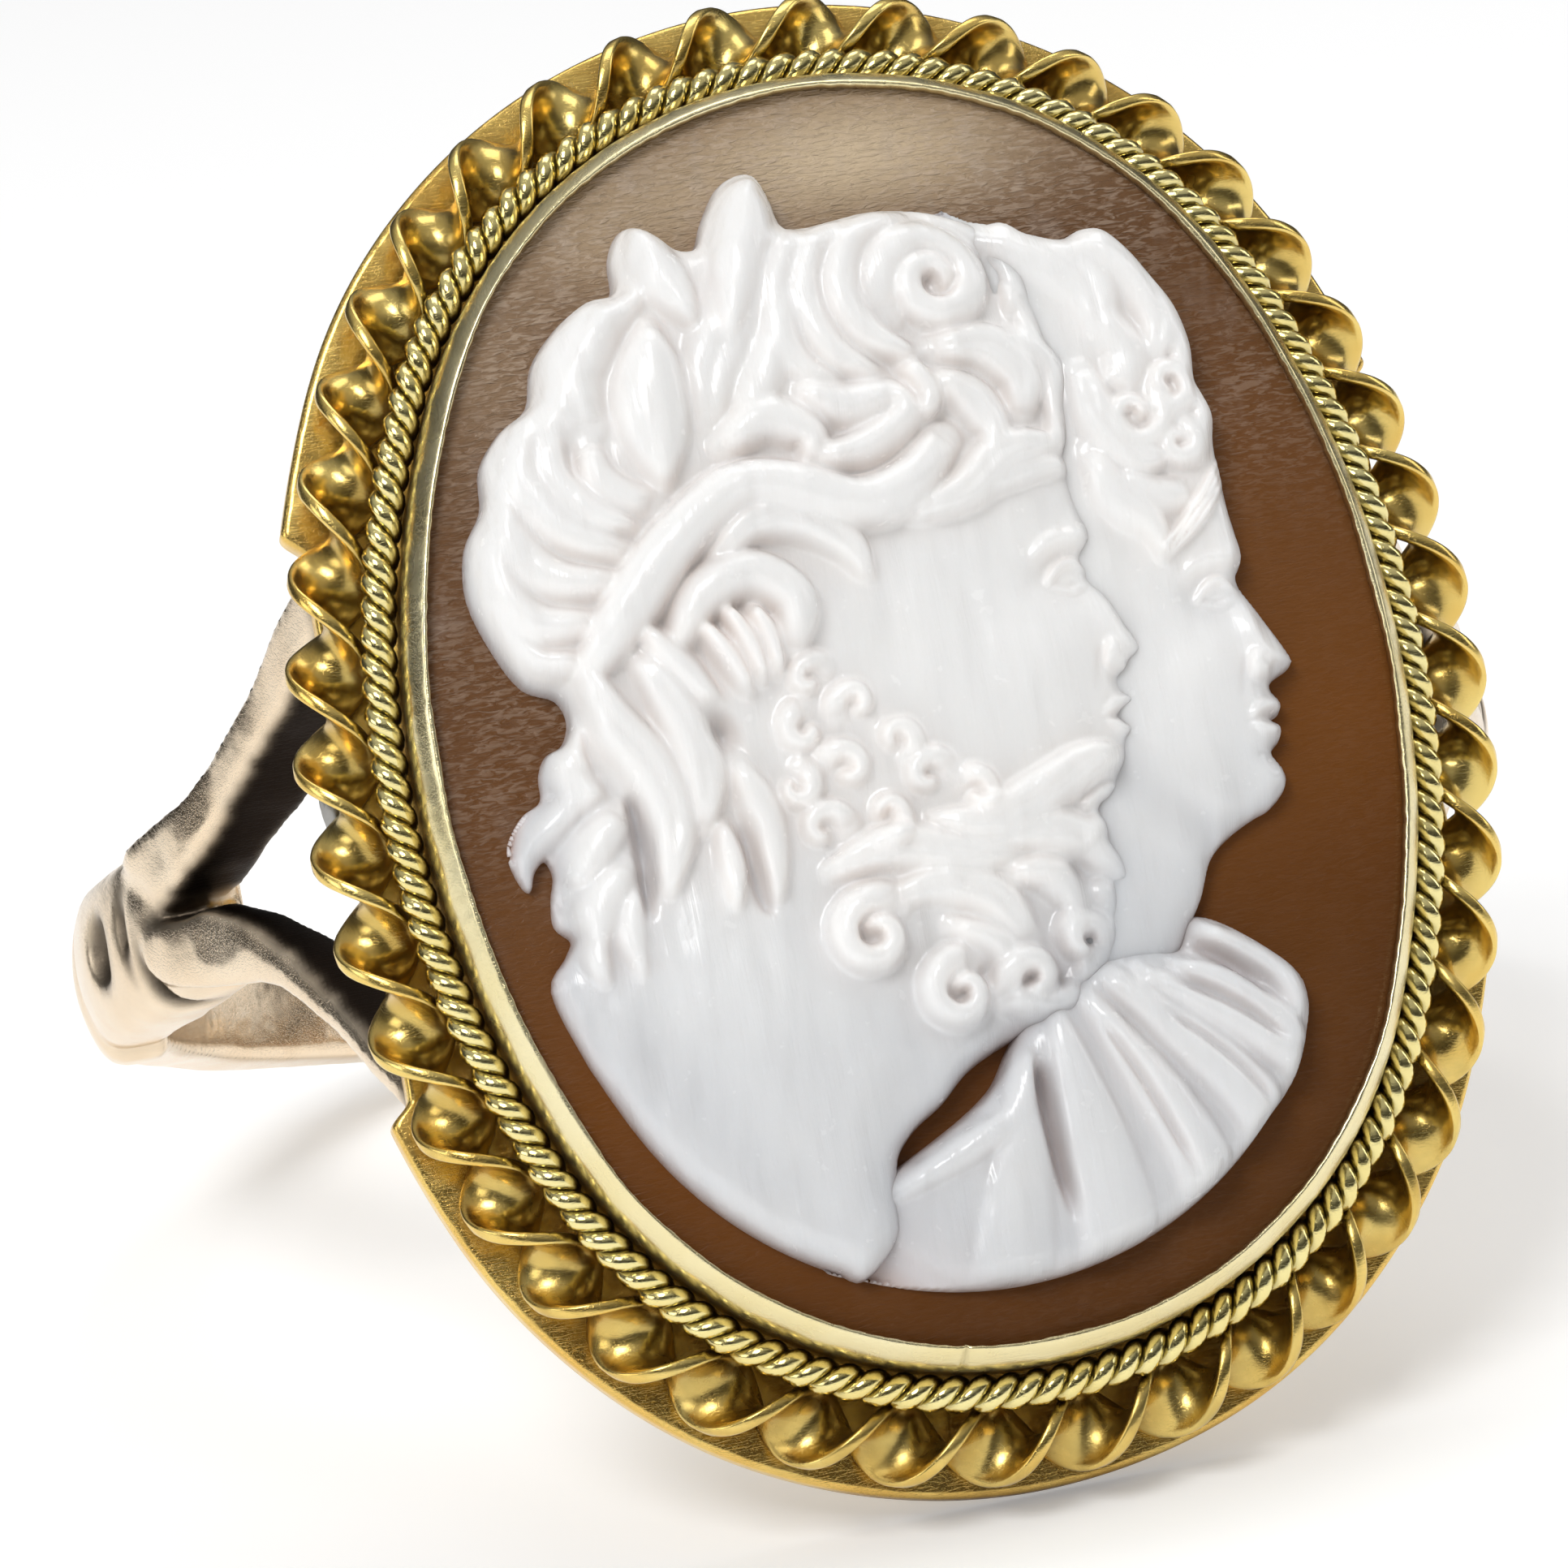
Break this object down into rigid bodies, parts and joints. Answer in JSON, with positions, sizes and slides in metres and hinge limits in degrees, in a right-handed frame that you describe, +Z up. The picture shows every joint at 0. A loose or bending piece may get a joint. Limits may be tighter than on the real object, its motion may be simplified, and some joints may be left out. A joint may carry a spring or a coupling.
{
  "type": "cameo ring",
  "caption": "Finger ring with a forked shank and an oval carved shell cameo of two heads, framed by a smooth bezel, a rope wire and a twisted ribbon on a thin plate.",
  "frame": {"origin": "The middle of the bounding box in x and y, on the surface that the ring rests on.", "axes": "+X runs across the ring's head, to the right as its face is seen. +Y runs from the face to the back of the shank. +Z is up, with the ring lying on the lower tip of its plate and the back of its shank. The finger axis leans back by about 25 degrees from +Z towards +Y."},
  "size_m": [0.02, 0.0228, 0.0176],
  "materials": {
    "rose_gold": "worn polish",
    "yellow_gold": "worn polish",
    "brown_shell": "satin polish",
    "white_shell": "soft polish"
  },
  "bodies": {
    "root": {"gold_mount": "rose_gold", "ribbon_border": "yellow_gold", "rope_border": "yellow_gold", "cameo_ground": "brown_shell", "cameo_relief": "white_shell"}
  },
  "joints": []
}
